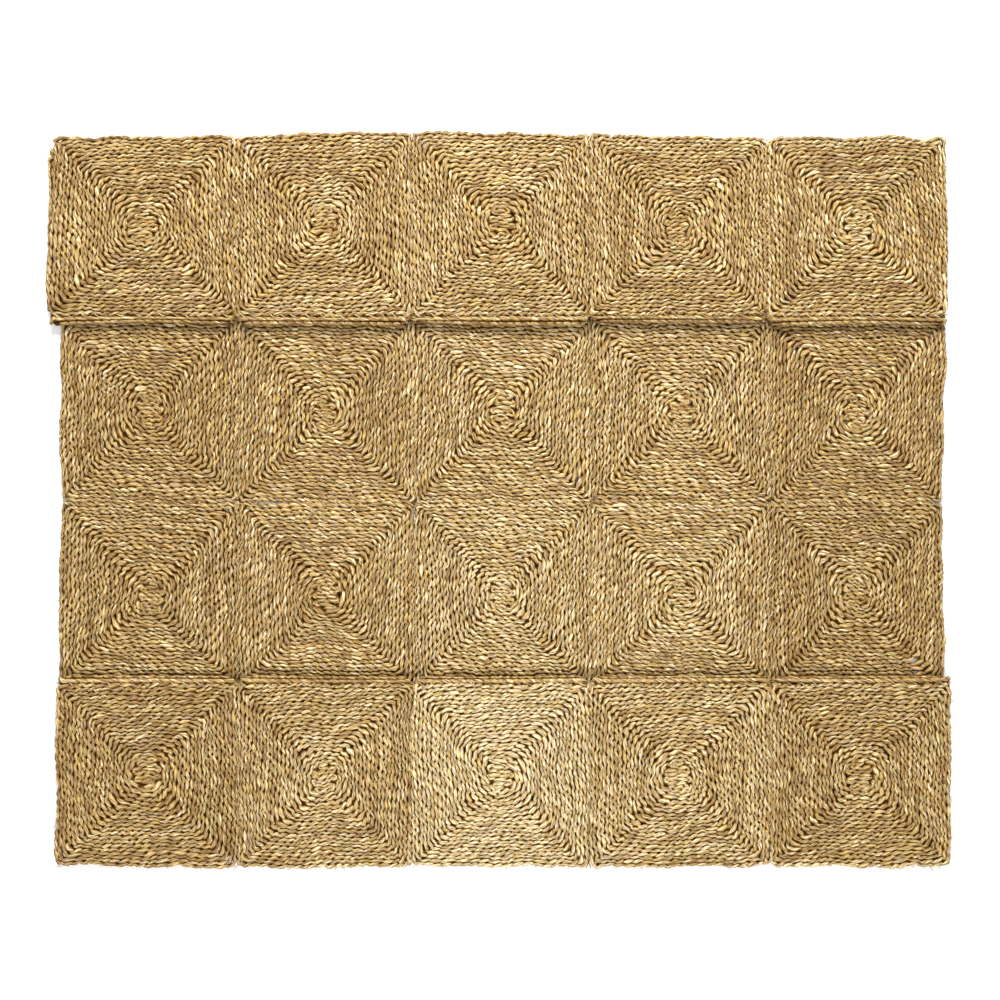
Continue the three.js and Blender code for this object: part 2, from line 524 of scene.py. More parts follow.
def count_plies(random, length, run):
    """Places along the cord, and how many plies have passed at each, a little uneven."""
    places = np.arange(0.0, length, run / 4)
    pace = 1 + wander(random, places, PACE_STEP, PACE[0]) + wander(random, places, run, PACE[1])
    pace = np.clip(pace, *PACE_LIMITS)
    return places, np.concatenate([[0.0], np.cumsum(pace[:-1] * np.diff(places) / run)])


def section_places(gone, x, y, number, plies, places, detailed):
    """Where the cross sections lie, and which step of a ply each one is, or -1.

    Where the cord is detailed they are in step with its plies. Elsewhere they lie at the corners
    and halfway between them."""
    count = int(plies[-1])
    fine = np.interp((np.arange(count)[:, None] + PLY_PHASES).ravel(), plies, places)
    fine_step = np.tile(np.arange(len(PLY_PHASES)), count)
    coil = number >= FIRST_SIDE
    corners = np.arange(math.ceil(FIRST_SIDE), number[-1], 1)
    coarse_place = np.concatenate(
        [corners + shift for shift in (-NEAR_CORNER, 0, NEAR_CORNER, 0.5)]
    )
    coarse = np.interp(np.sort(coarse_place), number[coil], gone[coil])
    coarse = np.unique(np.concatenate([np.arange(0, gone[coil][0], CORE_STEP), coarse]))
    shows = detailed(np.interp(fine, gone, x), np.interp(fine, gone, y))
    hides = ~detailed(np.interp(coarse, gone, x), np.interp(coarse, gone, y))
    at = np.concatenate([fine[shows], coarse[hides]])
    step = np.concatenate([fine_step[shows], np.full(hides.sum(), -1)])
    order = np.argsort(at, kind="stable")
    at, step = at[order], step[order]
    keep = np.concatenate([[True], np.diff(at) > LEAST_STEP])
    return at[keep], step[keep]


def section_sizes(random, sizes, at, step):
    """How wide and how tall each cross section is: grooves between plies, and slow swelling."""
    groove = np.where(step == 0, GROOVE, np.where(step == -1, PLAIN, CREST))
    groove = groove + np.where(step > 0, random.uniform(*CREST_UNEVEN, len(at)), 0.0)
    swell = 1 + wander(random, at, *SWELLS[0]) + wander(random, at, *SWELLS[1])
    size = (1 - sizes.ply_groove * groove) * swell
    tall = (1 - GROOVE_ON_TOP * sizes.ply_groove * groove) * swell
    return size, tall


def lip_reaches(wide, passed, inner, last, loose, bulge):
    """How far each lip of a section reaches. inner and last say which lie inwards and which on the
    last turn's outside, loose which of those lie at the rug's own edge."""
    reach = LIP_REACH * wide
    at_seam = reach * SEAM_LIP * (1 + SEAM_CORNER_LIP * (wide - 1)) * bulge
    reach = np.where(last, at_seam, reach)
    reach = np.where(passed < FIRST_SIDE + 1, CORE_LIP, reach)
    ring = inner & (passed > FIRST_SIDE) & (passed < FIRST_SIDE + RING_SIDES)
    reach = np.where(ring, RING_LIP, reach)
    return np.where(loose, EDGE_LIP, reach)


def cord_tube(name, sizes, line, lay, detailed, free, parting, random):
    """The cord as a mesh on its square panel, x and y across it and z above its underside."""
    x, y, thick, spread, number = line
    gone = np.concatenate([[0.0], np.cumsum(np.hypot(np.diff(x), np.diff(y)))])
    length = gone[-1]
    half_cord = sizes.cord_pitch / 2
    run = sizes.ply_run
    places, plies = count_plies(random, length, run)
    at, step = section_places(gone, x, y, number, plies, places, detailed)
    mesh, section, side = tube_mesh(name, len(at), len(AROUND))

    # The corners of a section in step with its ply follow the groove, slanting over the cord
    angle = np.radians(AROUND)
    slant = lay * run * sizes.ply_cross * (np.clip(AROUND / 180, 0, 1) - 0.5)
    slant[UNDER] = 0
    in_step = (step >= 0).astype(float)[section]
    along = np.clip(at[section] + in_step * slant[side], 0, length)
    ply = np.interp(at[section] + (in_step - 1) * slant[side], places, plies)

    size, tall = section_sizes(random, sizes, at, step)
    size, tall = size[section], tall[section]
    shows = (side != UNDER) & (step >= 0)[section]
    uneven = random.normal(0, UNEVEN, (3, len(section))) * shows
    shift = MOST_WOBBLE * np.tanh(wander(random, gone, WOBBLE_STEP, sizes.wobble) / MOST_WOBBLE)
    shift *= (number > 0) * (thick == 1)
    rise = wander(random, gone, *TOP_RISE)

    def here(values):
        """Values along the centre line, taken at each corner's own place."""
        return np.interp(along, gone, values)

    heading = here(np.unwrap(np.arctan2(np.gradient(y), np.gradient(x))))
    thin, wide, passed = here(thick), here(spread), here(number)
    centre_x, centre_y = here(x), here(y)
    inner, outer = side == INNER_LIP, side == OUTER_LIP
    edge = passed > number[-1] - 4
    last = outer & edge
    loose = last & free(centre_x, centre_y)
    bulge = np.where(step == 0, *SEAM_BULGE)[section]
    lips = lip_reaches(wide, passed, inner, last, loose, bulge)
    across = np.where(outer | inner, lips, size * (1 + CORNER_SPREAD * (wide - 1)))
    aside = FULLNESS * half_cord * across * np.cos(angle)[side] * thin + here(shift)
    high = np.clip(np.sin(angle) * ROUND_TOP, -1.0, 1.0)[side]
    top = np.minimum(tall, TALLEST) * (TAIL_HEIGHT[0] + TAIL_HEIGHT[1] * thin)
    bottom = np.minimum(tall, 1.0) * np.where(edge, 1.0, PRESSED)
    grown = np.where(side == UNDER, bottom, np.where(high > 0, top, 1.0))
    points = np.empty((len(section), 3))
    points[:, 0] = centre_x - np.sin(heading) * aside
    points[:, 1] = centre_y + parting(centre_x, centre_y) + np.cos(heading) * aside
    points[:, 2] = half_thick + grown * high * half_thick
    points[:, 2] += np.where(high > 0, here(rise), 0)
    points += uneven.T

    # Painted shade: how deep between turns each corner counts, less at seams, at the rug's edge and
    # at corners
    sunk_shade = SUNK_SHADE[side] * np.where(loose, EDGE_SUNK, np.where(last, SEAM_SUNK, 1.0))
    at_corner = smooth((wide - CORNER_FROM) / CORNER_OVER)
    sunk_shade = sunk_shade * np.where(last, 1 - at_corner * CORNER_RAISED, 1.0)
    return mesh, points, side, ply, along, sunk_shade


def set_cord_map(mesh, ply, around, lay):
    """The map of the cord: plies passed along it, and the share of the way around it."""
    corners = np.empty(len(mesh.loops), dtype=int)
    mesh.loops.foreach_get("vertex_index", corners)
    starts = np.empty(len(mesh.polygons), dtype=int)
    totals = np.empty(len(mesh.polygons), dtype=int)
    mesh.polygons.foreach_get("loop_start", starts)
    mesh.polygons.foreach_get("loop_total", totals)
    around = around[corners]

    # A face that closes the way around goes on past its end, not back to its start
    face = np.repeat(np.arange(len(starts)), totals)
    highest = np.maximum.reduceat(around, starts)[face]
    around = np.where((highest > 0.5) & (around < 0), around + 1, around)
    uv = mesh.uv_layers.new(name="cord")
    flat = np.empty(len(corners) * 2, dtype=np.float32)
    flat[0::2] = ply[corners]
    flat[1::2] = around * lay
    uv.data.foreach_set("uv", flat)


def set_values(mesh, name, values):
    attribute = mesh.attributes.new(name, "FLOAT", "POINT")
    attribute.data.foreach_set("value", values.astype(np.float32))


def shape_panel(points, place, random, sizes, name):
    """Shapes the square panel, which sways and has full edges, and fits it to its place."""
    x, y, z = points.T
    fade = (1 - (x / HALF) ** SWAY_FADE).clip(0) * (1 - (y / HALF) ** SWAY_FADE).clip(0)
    sway = waves(random, *SWAY_WAVES, sizes.sway, x, y) * fade
    x, y = x + sway[0], y + sway[1]
    fuller = sizes.edge_bulge / HALF
    x, y = x * (1 - fuller * (y / HALF) ** 2), y * (1 - fuller * (x / HALF) ** 2)
    if name in EDGE_PULLS:
        way, middle, reach, depth = EDGE_PULLS[name]
        edge = (way[0] * x + way[1] * y) / HALF
        along = (abs(way[1]) * x + abs(way[0]) * y) / HALF
        near = smooth(1 - np.abs(along - middle) / reach)
        pull = depth * smooth((edge - PULL_FROM) / (1 - PULL_FROM)) * near
        x, y = x - way[0] * pull, y - way[1] * pull
    return settle(place(x / HALF, y / HALF, z), sizes)


def parted(name, sizes, x, y):
    """How far up a place of a panel's cord moves where two turns are parted."""
    up = np.zeros_like(y)
    core, _, step = core_size(sizes)
    for across, turn, apart in PARTED_TURNS.get(name, ()):
        line = -(core + turn * step)
        beside = ((x - across * HALF) / PARTED_ALONG) ** 2
        near = np.exp(-beside - np.abs(y - line) / PARTED_ACROSS)
        up += np.sign(y - line) * apart / 2 * near
    return up


def flat_place(node):
    """Fits a square panel onto a flat packed one, whose corners may be uneven and lifted."""
    points = node_points(node)
    ends = {}
    for way in ((-1, -1), (1, -1), (1, 1), (-1, 1)):
        score = points[:, 0] * way[0] + points[:, 1] * way[1]
        found = points[score > score.max() - CORNER_NEAR]
        ends[way] = np.array([found[:, 0].mean(), found[:, 1].mean(), found[:, 2].min()])
    middle = sum(ends.values()) / 4
    stretch = np.array([CORNER_STRETCH, CORNER_STRETCH, 1.0])
    ends = {way: middle + (end - middle) * stretch for way, end in ends.items()}

    def place(x, y, z):
        across, up = (x + 1) / 2, (y + 1) / 2
        spot = (
            np.outer((1 - across) * (1 - up), ends[-1, -1])
            + np.outer(across * (1 - up), ends[1, -1])
            + np.outer(across * up, ends[1, 1])
            + np.outer((1 - across) * up, ends[-1, 1])
        )
        spot[:, 2] += z
        return spot

    size = np.ptp(points, axis=0)
    return place, (float(size[0]), float(size[1]))


def folded_place(node, toward):
    """Fits a square panel onto one that runs flat, curls over and runs back a layer lower.

    toward is +1 if the curl is the panel's outer end, and -1 if it is its inner end."""
    points = node_points(node)
    low, high = points.min(axis=0), points.max(axis=0)
    way = 1 if low[1] + high[1] > 0 else -1
    out = points[:, 1] * way
    curl_radius = (high[2] - low[2]) / 2
    radius = curl_radius - half_thick
    upper = out[points[:, 2] > high[2] - half_thick]
    lower = out[points[:, 2] < low[2] + half_thick]
    start = upper.max() if toward < 0 else upper.min()
    end = lower.max() if toward < 0 else lower.min()
    curl = (out.min() if toward < 0 else out.max()) - toward * curl_radius
    flat = abs(curl - start)
    arc = math.pi * radius
    length = flat + arc + abs(curl - end)
    middle_z = (high[2] + low[2]) / 2
    inner_tuck, outer_tuck = SIDE_TUCK.get(node, (0.0, 0.0))
    late = SEAM_LATE if toward < 0 else 0.0

    def place(x, y, z):
        # y runs from the panel's start, at its head side on the head end
        gone = late + (1 - y * way * -toward) / 2 * (length - late)
        angle = np.clip((gone - flat) / radius, 0, math.pi)
        after = np.maximum(0, gone - flat - arc)
        before = np.maximum(0, flat - gone)
        reach = radius + z - half_thick
        u = curl - toward * (before + after) + toward * reach * np.sin(angle)
        spot = np.empty((len(x), 3))
        near = smooth(1 - (u - out.min()) / TUCK_REACH)
        left = low[0] + inner_tuck * near + outer_tuck * (1 - near)
        spot[:, 0] = left + (x + 1) / 2 * (high[0] - left)
        spot[:, 1] = u * way
        spot[:, 2] = middle_z + reach * np.cos(angle)
        return spot

    return place, (float(high[0] - low[0]), float(length))


def row_fits(row):
    """Each panel of a row: the function that puts it in its place, and its flat size."""
    if row in FLAT_ROWS:
        return [flat_place(node_name(row, column)) for column in COLUMN_NUMBERS]
    toward = -1 if row.endswith("middle") else 1
    return [folded_place(node_name(row, column), toward) for column in COLUMN_NUMBERS]


def start_side(row):
    """+1 if a folded panel starts at its head side, and -1 if at its foot side."""
    return 1 if row in ("head_bottom", "foot_middle") else -1


def free_edges(row, column):
    """The directions in which a panel has the rug's own edge."""
    ways = []
    if column == 1:
        ways.append((-1, 0))
    if column == COLUMNS:
        ways.append((1, 0))
    if row == "head_top":
        ways.append((0, 1))
    if row == "foot_top":
        ways.append((0, -1))
    return ways


def everywhere(x, y):
    return np.ones_like(x, dtype=bool)


def at_fold(row, column, pitch):
    """Says which places of a folded panel show: its curl, and the rug's own edges."""

    def shows(x, y):
        up = y * start_side(row)
        deep, wide = CURL_END_TURNS
        seen = up > HALF - CURL_TURNS * pitch
        seen |= (up > HALF - deep * pitch) & (np.abs(x) > HALF - wide * pitch)
        for way_x, _ in free_edges(row, column):
            seen |= way_x * x > HALF - EDGE_TURNS * pitch
        return seen

    return shows


def at_rug_edge(row, column):
    """Says which places of a panel lie at the rug's own edge."""

    def free(x, y):
        edge = np.zeros_like(x, dtype=bool)
        for way_x, way_y in free_edges(row, column):
            edge |= way_x * x + way_y * y > AT_EDGE * HALF
        return edge

    return free


def wind_panel(context, row, column, place, detailed):
    """Makes one panel's cord, fits it to its place and hides the solid that it stands for."""
    sizes = context.scene.rug_sizes
    name = f"{row}_{column}"
    random = np.random.default_rng(ROW_SEEDS * ROWS.index(row) + column)
    inner_corner = random.uniform(*USUAL_CORNER)
    flip = random.choice((-1, 1), 2)
    lay = LAY[row] * flip[0] * flip[1]
    line = coil_line(sizes, CORNER_RADIUS.get(name, inner_corner))

    def turned(test):
        return lambda x, y: test(x * flip[0], y * flip[1])

    def turned_parting(x, y):
        return parted(name, sizes, x * flip[0], y * flip[1]) * flip[1]

    mesh, points, side, ply, along, sunk_shade = cord_tube(
        piece_name(row, column),
        sizes,
        line,
        lay,
        turned(detailed),
        turned(at_rug_edge(row, column)),
        turned_parting,
        random,
    )
    points = shape_panel(points * (*flip, 1), place, random, sizes, name)
    # The panel's own tone, with painted shade at the end columns and at the curls
    tone = PALENESS_AND_SHADE.get(row, (0,) * COLUMNS)[column - 1]
    for length, amount in PALENESS_CHANGES:
        tone = tone + wander(random, along, length, amount)
    # Painted shade: the field row is darker along the crease of the foot fold
    if row in CREASE_SHADE:
        fold = node_points(node_name("foot_middle", column))[:, 1].max()
        near = np.exp(-(((points[:, 1] - fold) / CREASE_REACH) ** 2))
        tone = tone - CREASE_SHADE[row] * near
    piece = finish_piece(context, mesh, points, ply, (AROUND / 360)[side], lay, tone, sunk_shade)
    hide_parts(node_name(row, column))


def finish_piece(context, mesh, points, ply, around, lay, tone, sunk_shade):
    """Gives a mesh its points, map and values, and makes it a piece of the rug."""
    mesh.vertices.foreach_set("co", points.ravel())
    set_cord_map(mesh, ply, around, lay)
    set_values(mesh, "tone", tone)
    # The depth that sets the painted shade between turns
    set_values(mesh, "sunk_shade", sunk_shade)
    bm = bmesh.new()
    bm.from_mesh(mesh)
    bmesh.ops.recalc_face_normals(bm, faces=bm.faces)
    for face in bm.faces:
        face.smooth = True
    bm.to_mesh(mesh)
    bm.free()
    piece = bpy.data.objects.new(mesh.name, mesh)
    context.scene.collection.objects.link(piece)
    piece.data.materials.append(cord_material(context))
    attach(piece, "root")
    return piece


# Sewing: sections of each stitch and sides of the blade
STITCH_STEPS = 6
SEWING_SIDES = 4
# Share of a hidden panel's sides that is sewn, at its curl
CURL_SEWN = 0.15
# How far the whipped blade reaches to either side of its seam, and its middle height and reach
# up and down, in shares of the panel's thickness
WHIP_ASIDE = 0.0030
WHIP_HEIGHT = (0.58, 0.50)
# How uneven the stitches are and how uneven their reach is: over what length, and how much
STITCH_UNEVEN = (0.03, 0.6)
ASIDE_UNEVEN = (0.02, 0.15)
# How uneven the blade's width is: over how many sections, and how much. Then how narrow its ends
# are and how thick it is, in shares of its width, and how pale the blades are: mean and spread.
WIDTH_UNEVEN = (5, 0.12)
SEWING_ENDS = 0.2
SEWING_THICK = 0.35
SEWING_TONE = (0.05, 0.12)

# Stray blades: sections and sides of each, half its width at the widest, the shares of it at each
# section, its thickness as a share of it, how bowed it is, and how pale they are: mean and spread
STRAY_SECTIONS = 4
STRAY_SIDES = 3
STRAY_HALF = (0.00035, 0.00060)
STRAY_TAPER = (0.25, 1.0, 0.85, 0.15)
STRAY_THICK = 0.5
STRAY_BOW = 0.0009
STRAY_TONE = (0.22, 0.25)
# Those that lie on a panel: how far out they go in shares of the half side, how much they turn
# from the cord, their length, how far from its top they lie, how far their ends dip below the
# middle, or lie above it, and the share of blades whose ends do the latter
LYING_WITHIN = 0.97
LYING_TURN = 0.32
LYING_LENGTH = (0.007, 0.021)
LYING_HEIGHT = (-0.0004, 0.0004)
LYING_DIP = 0.0016
RISING_DIP = -0.0030
RISING_SHARE = 0.12
# Those along each free edge of a panel: how many, how far along it they go in shares of the half
# side, how far out, their turn from straight out, length, height in shares of the thickness, dip
EDGE_BLADES = 20
EDGE_WITHIN = 0.98
EDGE_OUT = (-0.0015, 0.0008)
EDGE_TURN = (0.35, 1.5)
EDGE_LENGTH = (0.004, 0.011)
EDGE_HEIGHT = (0.25, 0.9)
EDGE_DIP = (-0.0008, 0.0012)

# Where a thin blade lies on the cord's map: near the middle of a ply of its own, swinging from
# section to section by this much and at this pace, and turned around by this share
BLADE_MIDDLE = 0.5
BLADE_SWING = 0.25
BLADE_PACE = 1.7
BLADE_TURNED = 0.12


def blade_corners(centre, half_width, half_depth, sides):
    """Corners of thin blades around their centre lines, blade by section by side."""
    ahead = np.gradient(centre, axis=1)
    heading = np.arctan2(ahead[..., 1], ahead[..., 0])
    across = np.stack([-np.sin(heading), np.cos(heading)], -1)
    angle = 2 * math.pi * np.arange(sides) / sides - math.pi / 2 + math.pi / sides
    points = np.repeat(centre[:, :, None, :], sides, axis=2)
    points[..., :2] += across[:, :, None] * (half_width[..., None] * np.cos(angle))[..., None]
    points[..., 2] += half_depth[..., None] * np.sin(angle)
    return points.reshape(-1, 3)


def blades_piece(context, name, blades, sections, sides, points, tone):
    """Many thin blades as one joined piece. points are their corners, tone one value a blade."""
    base, section, side = tube_mesh(name, sections, sides)
    bm = bmesh.new()
    for _ in range(blades):
        bm.from_mesh(base)
    bm.to_mesh(base)
    bm.free()
    number = np.repeat(np.arange(blades), len(section))
    section, side = np.tile(section, blades), np.tile(side, blades)
    order = (number * sections + section) * sides + side
    ply = 2 * number + (BLADE_MIDDLE + BLADE_SWING * np.sin(section * BLADE_PACE))
    around = side / sides - BLADE_TURNED
    finish_piece(
        context, base, points[order], ply, around, 1, tone[number], np.zeros(len(number))
    )


def lacing(random, sizes, start, end, sections):
    """A blade whipped over the seam from start to end on the square panel: its centre line."""
    start, end = np.array(start), np.array(end)
    length = float(np.linalg.norm(end - start))
    ahead = (end - start) / length
    aside = np.array((-ahead[1], ahead[0]))
    gone = np.linspace(0, length, sections)
    turn = 2 * math.pi * gone / sizes.stitch + wander(random, gone, *STITCH_UNEVEN)
    turn += random.uniform(0, 2 * math.pi)
    out = WHIP_ASIDE * (1 + wander(random, gone, *ASIDE_UNEVEN)) * np.cos(turn)
    centre = np.empty((sections, 3))
    centre[:, :2] = start + np.outer(gone, ahead) + np.outer(out, aside)
    centre[:, 2] = panel_thick * (WHIP_HEIGHT[0] + WHIP_HEIGHT[1] * np.sin(turn))
    return centre


def sewn_edges(row, column, middle, reach):
    """The seams sewn from a panel: to the next column, and to the next row where that shows."""
    edges = []
    if column < COLUMNS:
        edges.append(((HALF, middle + reach), (HALF, middle - reach)))
    if row in ("head_top", "field_head"):
        edges.append(((-HALF, -HALF), (HALF, -HALF)))
    if row == "foot_top":
        edges.append(((-HALF, HALF), (HALF, HALF)))
    return edges


def sew_row(context, row):
    """Sews a row's panels to each other, and to the next row where that seam shows."""
    sizes = context.scene.rug_sizes
    random = np.random.default_rng(SEWING_SEED + ROWS.index(row))
    middle, reach = 0.0, HALF
    if row in FOLDED_ROWS:
        reach = CURL_SEWN * HALF
        middle = start_side(row) * (HALF - reach)
    sections = int(2 * reach / sizes.stitch * STITCH_STEPS)
    points = []
    for column, (place, _) in enumerate(row_fits(row), 1):
        for start, end in sewn_edges(row, column, middle, reach):
            centre = lacing(random, sizes, start, end, sections)[None]
            half = np.full((1, sections), sizes.blade_width / 2)
            half *= 1 + wander(random, np.arange(sections), *WIDTH_UNEVEN)
            half[:, [0, -1]] *= SEWING_ENDS
            x, y, z = blade_corners(centre, half, SEWING_THICK * half, SEWING_SIDES).T
            points.append(settle(place(x / HALF, y / HALF, z), sizes))
    blades = len(points)
    tone = random.normal(*SEWING_TONE, blades)
    corners = np.concatenate(points)
    blades_piece(context, f"sewing_{row}", blades, sections, SEWING_SIDES, corners, tone)


def stray_lines(random, count, ways):
    """Centre lines of stray blades: most lie on the panel, some stick out at a free edge."""
    x, y = random.uniform(-LYING_WITHIN * HALF, LYING_WITHIN * HALF, (2, count))
    along_cord = np.where(np.abs(y) > np.abs(x), 0.0, math.pi / 2)
    heading = along_cord + random.normal(0, LYING_TURN, count)
    long = random.uniform(*LYING_LENGTH, count)
    z = panel_thick + random.uniform(*LYING_HEIGHT, count)
    dip = np.where(random.random(count) < RISING_SHARE, RISING_DIP, LYING_DIP)
    for way in ways:
        along = random.uniform(-EDGE_WITHIN * HALF, EDGE_WITHIN * HALF, EDGE_BLADES)
        edge = HALF + random.uniform(*EDGE_OUT, EDGE_BLADES)
        x = np.concatenate([x, way[0] * edge + abs(way[1]) * along])
        y = np.concatenate([y, way[1] * edge + abs(way[0]) * along])
        beside = random.choice((-1, 1), EDGE_BLADES) * random.uniform(*EDGE_TURN, EDGE_BLADES)
        heading = np.concatenate([heading, math.atan2(way[1], way[0]) + beside])
        long = np.concatenate([long, random.uniform(*EDGE_LENGTH, EDGE_BLADES)])
        z = np.concatenate([z, random.uniform(*EDGE_HEIGHT, EDGE_BLADES) * panel_thick])
        dip = np.concatenate([dip, random.uniform(*EDGE_DIP, EDGE_BLADES)])
    share = np.linspace(-1, 1, STRAY_SECTIONS)
    bow = random.normal(0, STRAY_BOW, len(x))[:, None] * (1 - share**2)
    gone = long[:, None] / 2 * share
    turn = heading[:, None]
    centre = np.empty((len(x), STRAY_SECTIONS, 3))
    centre[..., 0] = x[:, None] + gone * np.cos(turn) - bow * np.sin(turn)
    centre[..., 1] = y[:, None] + gone * np.sin(turn) + bow * np.cos(turn)
    centre[..., 2] = z[:, None] - dip[:, None] * share**2
    return centre


def scatter_blades(context, row):
    """Scatters a row's stray blades over its panels and along its free edges."""
    sizes = context.scene.rug_sizes
    random = np.random.default_rng(STRAY_SEED + ROWS.index(row))
    points = []
    blades = 0
    for column, (place, _) in enumerate(row_fits(row), 1):
        centre = stray_lines(random, sizes.stray_blades, free_edges(row, column))
        half = random.uniform(*STRAY_HALF, (len(centre), 1)) * np.array(STRAY_TAPER)
        x, y, z = blade_corners(centre, half, STRAY_THICK * half, STRAY_SIDES).T
        points.append(settle(place(x / HALF, y / HALF, z), sizes))
        blades += len(centre)
    tone = random.normal(*STRAY_TONE, blades)
    corners = np.concatenate(points)
    blades_piece(context, f"stray_{row}", blades, STRAY_SECTIONS, STRAY_SIDES, corners, tone)


def new_group(name, inputs, outputs):
    """An empty shader group with its sockets, and its inner start and end."""
    group = bpy.data.node_groups.new(name, "ShaderNodeTree")
    for label, kind, value in inputs:
        socket = group.interface.new_socket(name=label, in_out="INPUT", socket_type=kind)
        socket.default_value = value
    for label, kind in outputs:
        group.interface.new_socket(name=label, in_out="OUTPUT", socket_type=kind)
    return group, group.nodes.new("NodeGroupInput"), group.nodes.new("NodeGroupOutput")


class Graph:
    """Short ways to add and join shader nodes."""

    def __init__(self, tree):
        self.tree = tree

    def put(self, socket, value):
        if isinstance(value, bpy.types.NodeSocket):
            self.tree.links.new(value, socket)
        else:
            socket.default_value = value

    def math(self, operation, *values):
        node = self.tree.nodes.new("ShaderNodeMath")
        node.operation = operation
        for socket, value in zip(node.inputs, values):
            self.put(socket, value)
        return node.outputs[0]

    def remap(self, value, low, high, to_low=0.0, to_high=1.0):
        node = self.tree.nodes.new("ShaderNodeMapRange")
        node.interpolation_type = "SMOOTHSTEP"
        for label, given in (
            ("Value", value),
            ("From Min", low),
            ("From Max", high),
            ("To Min", to_low),
            ("To Max", to_high),
        ):
            self.put(node.inputs[label], given)
        return node.outputs[0]

    def mix(self, share, first, second, blend="MIX"):
        node = self.tree.nodes.new("ShaderNodeMix")
        node.data_type = "RGBA"
        node.blend_type = blend
        # The sockets of the colour mix: 0 its share, 6 and 7 the two colours, 2 the result
        self.put(node.inputs[0], share)
        self.put(node.inputs[6], first)
        self.put(node.inputs[7], second)
        return node.outputs[2]

    def vector(self, x, y, z=0.0):
        node = self.tree.nodes.new("ShaderNodeCombineXYZ")
        for socket, value in zip(node.inputs, (x, y, z)):
            self.put(socket, value)
        return node.outputs[0]

    def noise(self, vector, scale=1.0, detail=2.0, roughness=0.5):
        node = self.tree.nodes.new("ShaderNodeTexNoise")
        self.put(node.inputs["Vector"], vector)
        node.inputs["Scale"].default_value = scale
        node.inputs["Detail"].default_value = detail
        node.inputs["Roughness"].default_value = roughness
        return node.outputs[0]

    def chance(self, vector):
        node = self.tree.nodes.new("ShaderNodeTexWhiteNoise")
        node.noise_dimensions = "3D"
        self.put(node.inputs["Vector"], vector)
        return node.outputs[0]


def colour(values):
    return (*values, 1.0)


BLADE_COLOURS = ("Straw", "Pale", "Brown", "Green", "Yellow", "Dull")
# Where on a blade's shade pale and brown set in, and where they are full
PALE_RANGE = (0.46, 0.92)
BROWN_RANGE = (0.38, 0.0)
# Where on a blade's other chance the rarer colours set in and are full, and from what share of
# the colour to what share. Dull also fades out again.
GREEN_RANGE = (0.86, 0.98, 0.0, 0.7)
YELLOW_RANGE = (0.16, 0.04, 0.0, 0.75)
DULL_IN = (0.50, 0.60)
DULL_OUT = (0.84, 0.72, 0.0, 0.7)

# Blades side by side over a ply's run, how much they slant from it, and how they waver: the
# scale of that, and by how many blades
BLADES = 3.2
BLADE_SLANT = 2.2
WAVER_SCALE = 2.1
WAVER = 1.8
# How a ply is paler than the next: by chance, by a slow change along each of the two plies, the
# pace of that, how far apart the two are on its noise, and the mean that is taken off
PALER_CHANCE = 0.36
PALER_SLOW = 0.8
PALER_PACE = 0.11
PALER_APART = 14.0
PALER_MEAN = 0.58
# Numbers that keep the chances of a ply and the two of a blade apart
PLY_KEY = (5.0, 4.0)
BLADE_KEYS = (1.0, 2.0)
# Streaks and fibres: how often they change along a blade and around the cord, the part of the
# noise that is used, and how dark and how light they make the colour
STREAK = (3.0, 8.0)
STREAK_NOISE = (0.30, 0.70)
STREAK_RANGE = (0.50, 1.45)
FIBRE = (40.0, 6.0)
FIBRE_NOISE = (0.28, 0.72)
FIBRE_RANGE = (0.80, 1.16)
FIBRE_ROUGH = 0.62
# How far from the middle of a ply its groove starts and is full, and its share of the depth that
# sets the painted shade
GROOVE_RANGE = (0.50, 1.0)
GROOVE_SHARE = 0.46
# Painted shade: from what depth to what depth the colour turns warm, and turns to the dark gap
# shade colour
SHADE_RANGE = (0.10, 0.60)
GAP_SHADE_RANGE = (0.32, 0.90)
WARM_SHADE = (0.90, 0.73, 0.42)
# How far from the middle of a blade its side falls off, and the heights for the bump: of the
# fibres, of that side and of the groove. A streak is as high as it is light.
BLADE_SIDE = (0.34, 0.5)
FIBRE_HEIGHT = 0.5
SIDE_HEIGHT = 0.6
GROOVE_HEIGHT = 0.9
BUMP_DISTANCE = 0.0010
BUMP_STRENGTH = 0.9
# How shiny the blades are, and how rough on top of the cord and deep in it
SPECULAR = 0.12
TOP_ROUGH, DEEP_ROUGH = 0.50, 0.95


def blade_colour_group(colours):
    """The colour of one dried blade, from two chances and how pale it is."""
    inputs = [
        ("Chance", "NodeSocketFloat", 0.5),
        ("Other Chance", "NodeSocketFloat", 0.5),
        ("Tone", "NodeSocketFloat", 0.0),
    ]
    for label in BLADE_COLOURS:
        inputs.append((label, "NodeSocketColor", colour(getattr(colours, label.lower()))))
    group, start, end = new_group("Blade colour", inputs, [("Colour", "NodeSocketColor")])
    g = Graph(group)
    given = start.outputs
    shade = g.math("ADD", given["Chance"], given["Tone"])
    other = given["Other Chance"]
    mixed = g.mix(g.remap(shade, *PALE_RANGE), given["Straw"], given["Pale"])
    mixed = g.mix(g.remap(shade, *BROWN_RANGE), mixed, given["Brown"])
    mixed = g.mix(g.remap(other, *GREEN_RANGE), mixed, given["Green"])
    mixed = g.mix(g.remap(other, *YELLOW_RANGE), mixed, given["Yellow"])
    dull = g.math("MULTIPLY", g.remap(other, *DULL_IN), g.remap(other, *DULL_OUT))
    mixed = g.mix(dull, mixed, given["Dull"])
    group.links.new(mixed, end.inputs["Colour"])
    return group


